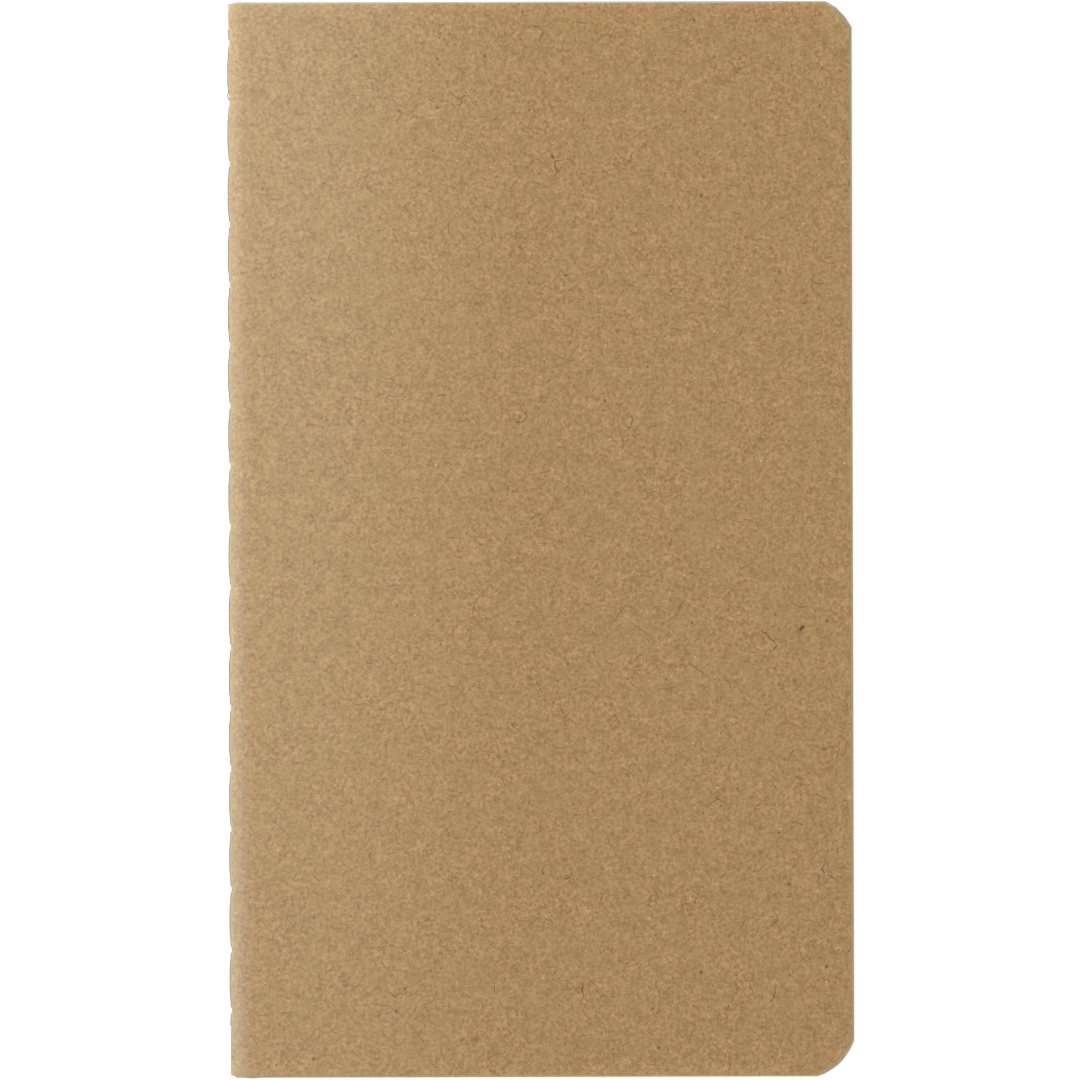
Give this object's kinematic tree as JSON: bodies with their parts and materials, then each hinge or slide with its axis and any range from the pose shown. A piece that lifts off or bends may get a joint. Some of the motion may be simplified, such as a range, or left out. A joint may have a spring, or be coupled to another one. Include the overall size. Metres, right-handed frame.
{
  "type": "pocket notebook",
  "caption": "Slim sewn pocket notebook: kraft card cover folded round centre-folded paper sheets, stitched through the spine, punched fore-edge corners.",
  "frame": {"origin": "middle of the footprint, at the level of the back cover's outer face", "axes": "+X from the spine to the fore edge, +Y up the page along the spine, +Z through the thickness from the back cover to the front cover"},
  "size_m": [0.09, 0.155, 0.0042],
  "materials": {
    "kraft_card": "uncoated kraft card with visible fibres",
    "ivory_paper": "uncoated writing paper",
    "grey_thread": "twisted sewing thread"
  },
  "bodies": {
    "back_half": {"back_cover": "kraft_card", "sheet_01_back_leaf": "ivory_paper"},
    "fold_line": {"cover_spine": "kraft_card", "sheet_01_fold": "ivory_paper", "sheet_02_fold": "ivory_paper", "sheet_03_fold": "ivory_paper", "sheet_04_fold": "ivory_paper", "sheet_05_fold": "ivory_paper", "sheet_06_fold": "ivory_paper", "sheet_07_fold": "ivory_paper", "sheet_08_fold": "ivory_paper", "sheet_09_fold": "ivory_paper", "sheet_10_fold": "ivory_paper", "sheet_11_fold": "ivory_paper", "sheet_12_fold": "ivory_paper", "spine_thread": "grey_thread", "gutter_thread": "grey_thread"},
    "front_half": {"sheet_01_front_leaf": "ivory_paper"},
    "front_cover": {"front_cover": "kraft_card"},
    "back_leaf_02": {"sheet_02_back_leaf": "ivory_paper"},
    "front_leaf_02": {"sheet_02_front_leaf": "ivory_paper"},
    "back_leaf_03": {"sheet_03_back_leaf": "ivory_paper"},
    "front_leaf_03": {"sheet_03_front_leaf": "ivory_paper"},
    "back_leaf_04": {"sheet_04_back_leaf": "ivory_paper"},
    "front_leaf_04": {"sheet_04_front_leaf": "ivory_paper"},
    "back_leaf_05": {"sheet_05_back_leaf": "ivory_paper"},
    "front_leaf_05": {"sheet_05_front_leaf": "ivory_paper"},
    "back_leaf_06": {"sheet_06_back_leaf": "ivory_paper"},
    "front_leaf_06": {"sheet_06_front_leaf": "ivory_paper"},
    "back_leaf_07": {"sheet_07_back_leaf": "ivory_paper"},
    "front_leaf_07": {"sheet_07_front_leaf": "ivory_paper"},
    "back_leaf_08": {"sheet_08_back_leaf": "ivory_paper"},
    "front_leaf_08": {"sheet_08_front_leaf": "ivory_paper"},
    "back_leaf_09": {"sheet_09_back_leaf": "ivory_paper"},
    "front_leaf_09": {"sheet_09_front_leaf": "ivory_paper"},
    "back_leaf_10": {"sheet_10_back_leaf": "ivory_paper"},
    "front_leaf_10": {"sheet_10_front_leaf": "ivory_paper"},
    "back_leaf_11": {"sheet_11_back_leaf": "ivory_paper"},
    "front_leaf_11": {"sheet_11_front_leaf": "ivory_paper"},
    "back_leaf_12": {"sheet_12_back_leaf": "ivory_paper"},
    "front_leaf_12": {"sheet_12_front_leaf": "ivory_paper"}
  },
  "joints": [
    {"name": "open_at_middle", "type": "hinge", "parent": "back_half", "child": "front_half", "pos_m": [-0.04281, 0, 0.0021], "axis": [0, -1, 0], "range_deg": [0, 178], "deforming": ["cover_spine", "sheet_01_fold", "sheet_02_fold", "sheet_03_fold", "sheet_04_fold", "sheet_05_fold", "sheet_06_fold", "sheet_07_fold", "sheet_08_fold", "sheet_09_fold", "sheet_10_fold", "sheet_11_fold", "sheet_12_fold"]},
    {"name": "front_cover_turn", "type": "hinge", "parent": "front_half", "child": "front_cover", "pos_m": [-0.04246, 0, 0.00435], "axis": [0, -1, 0], "range_deg": [0, 178]},
    {"name": "fold_turn", "type": "hinge", "parent": "back_half", "child": "fold_line", "pos_m": [-0.04281, 0, 0.0021], "axis": [0, -1, 0], "range_deg": [0, 89]},
    {"name": "back_leaf_02_lift", "type": "hinge", "parent": "back_half", "child": "back_leaf_02", "pos_m": [-0.04281, 0, 0.0021], "axis": [0, -1, 0], "range_deg": [0, 0.534]},
    {"name": "front_leaf_02_turn", "type": "hinge", "parent": "back_leaf_02", "child": "front_leaf_02", "pos_m": [-0.04281, 0, 0.0021], "axis": [0, -1, 0], "range_deg": [0, 176.93]},
    {"name": "back_leaf_03_lift", "type": "hinge", "parent": "back_half", "child": "back_leaf_03", "pos_m": [-0.04281, 0, 0.0021], "axis": [0, -1, 0], "range_deg": [0, 1.07]},
    {"name": "front_leaf_03_turn", "type": "hinge", "parent": "back_leaf_03", "child": "front_leaf_03", "pos_m": [-0.04281, 0, 0.0021], "axis": [0, -1, 0], "range_deg": [0, 175.86]},
    {"name": "back_leaf_04_lift", "type": "hinge", "parent": "back_half", "child": "back_leaf_04", "pos_m": [-0.04281, 0, 0.0021], "axis": [0, -1, 0], "range_deg": [0, 1.6]},
    {"name": "front_leaf_04_turn", "type": "hinge", "parent": "back_leaf_04", "child": "front_leaf_04", "pos_m": [-0.04281, 0, 0.0021], "axis": [0, -1, 0], "range_deg": [0, 174.8]},
    {"name": "back_leaf_05_lift", "type": "hinge", "parent": "back_half", "child": "back_leaf_05", "pos_m": [-0.04281, 0, 0.0021], "axis": [0, -1, 0], "range_deg": [0, 2.14]},
    {"name": "front_leaf_05_turn", "type": "hinge", "parent": "back_leaf_05", "child": "front_leaf_05", "pos_m": [-0.04281, 0, 0.0021], "axis": [0, -1, 0], "range_deg": [0, 173.73]},
    {"name": "back_leaf_06_lift", "type": "hinge", "parent": "back_half", "child": "back_leaf_06", "pos_m": [-0.04281, 0, 0.0021], "axis": [0, -1, 0], "range_deg": [0, 2.67]},
    {"name": "front_leaf_06_turn", "type": "hinge", "parent": "back_leaf_06", "child": "front_leaf_06", "pos_m": [-0.04281, 0, 0.0021], "axis": [0, -1, 0], "range_deg": [0, 172.66]},
    {"name": "back_leaf_07_lift", "type": "hinge", "parent": "back_half", "child": "back_leaf_07", "pos_m": [-0.04281, 0, 0.0021], "axis": [0, -1, 0], "range_deg": [0, 3.2]},
    {"name": "front_leaf_07_turn", "type": "hinge", "parent": "back_leaf_07", "child": "front_leaf_07", "pos_m": [-0.04281, 0, 0.0021], "axis": [0, -1, 0], "range_deg": [0, 171.59]},
    {"name": "back_leaf_08_lift", "type": "hinge", "parent": "back_half", "child": "back_leaf_08", "pos_m": [-0.04281, 0, 0.0021], "axis": [0, -1, 0], "range_deg": [0, 3.74]},
    {"name": "front_leaf_08_turn", "type": "hinge", "parent": "back_leaf_08", "child": "front_leaf_08", "pos_m": [-0.04281, 0, 0.0021], "axis": [0, -1, 0], "range_deg": [0, 170.52]},
    {"name": "back_leaf_09_lift", "type": "hinge", "parent": "back_half", "child": "back_leaf_09", "pos_m": [-0.04281, 0, 0.0021], "axis": [0, -1, 0], "range_deg": [0, 4.27]},
    {"name": "front_leaf_09_turn", "type": "hinge", "parent": "back_leaf_09", "child": "front_leaf_09", "pos_m": [-0.04281, 0, 0.0021], "axis": [0, -1, 0], "range_deg": [0, 169.46]},
    {"name": "back_leaf_10_lift", "type": "hinge", "parent": "back_half", "child": "back_leaf_10", "pos_m": [-0.04281, 0, 0.0021], "axis": [0, -1, 0], "range_deg": [0, 4.81]},
    {"name": "front_leaf_10_turn", "type": "hinge", "parent": "back_leaf_10", "child": "front_leaf_10", "pos_m": [-0.04281, 0, 0.0021], "axis": [0, -1, 0], "range_deg": [0, 168.39]},
    {"name": "back_leaf_11_lift", "type": "hinge", "parent": "back_half", "child": "back_leaf_11", "pos_m": [-0.04281, 0, 0.0021], "axis": [0, -1, 0], "range_deg": [0, 5.34]},
    {"name": "front_leaf_11_turn", "type": "hinge", "parent": "back_leaf_11", "child": "front_leaf_11", "pos_m": [-0.04281, 0, 0.0021], "axis": [0, -1, 0], "range_deg": [0, 167.32]},
    {"name": "back_leaf_12_lift", "type": "hinge", "parent": "back_half", "child": "back_leaf_12", "pos_m": [-0.04281, 0, 0.0021], "axis": [0, -1, 0], "range_deg": [0, 5.87]},
    {"name": "front_leaf_12_turn", "type": "hinge", "parent": "back_leaf_12", "child": "front_leaf_12", "pos_m": [-0.04281, 0, 0.0021], "axis": [0, -1, 0], "range_deg": [0, 166.25]}
  ],
  "couplings": [
    {"joint": "fold_turn", "follows": "open_at_middle", "ratio": 0.5},
    {"joint": "back_leaf_02_lift", "follows": "open_at_middle", "ratio": 0.003},
    {"joint": "front_leaf_02_turn", "follows": "open_at_middle", "ratio": 0.994},
    {"joint": "back_leaf_03_lift", "follows": "open_at_middle", "ratio": 0.006},
    {"joint": "front_leaf_03_turn", "follows": "open_at_middle", "ratio": 0.988},
    {"joint": "back_leaf_04_lift", "follows": "open_at_middle", "ratio": 0.009},
    {"joint": "front_leaf_04_turn", "follows": "open_at_middle", "ratio": 0.982},
    {"joint": "back_leaf_05_lift", "follows": "open_at_middle", "ratio": 0.012},
    {"joint": "front_leaf_05_turn", "follows": "open_at_middle", "ratio": 0.976},
    {"joint": "back_leaf_06_lift", "follows": "open_at_middle", "ratio": 0.015},
    {"joint": "front_leaf_06_turn", "follows": "open_at_middle", "ratio": 0.97},
    {"joint": "back_leaf_07_lift", "follows": "open_at_middle", "ratio": 0.018},
    {"joint": "front_leaf_07_turn", "follows": "open_at_middle", "ratio": 0.964},
    {"joint": "back_leaf_08_lift", "follows": "open_at_middle", "ratio": 0.021},
    {"joint": "front_leaf_08_turn", "follows": "open_at_middle", "ratio": 0.958},
    {"joint": "back_leaf_09_lift", "follows": "open_at_middle", "ratio": 0.024},
    {"joint": "front_leaf_09_turn", "follows": "open_at_middle", "ratio": 0.952},
    {"joint": "back_leaf_10_lift", "follows": "open_at_middle", "ratio": 0.027},
    {"joint": "front_leaf_10_turn", "follows": "open_at_middle", "ratio": 0.946},
    {"joint": "back_leaf_11_lift", "follows": "open_at_middle", "ratio": 0.03},
    {"joint": "front_leaf_11_turn", "follows": "open_at_middle", "ratio": 0.94},
    {"joint": "back_leaf_12_lift", "follows": "open_at_middle", "ratio": 0.033},
    {"joint": "front_leaf_12_turn", "follows": "open_at_middle", "ratio": 0.934}
  ]
}
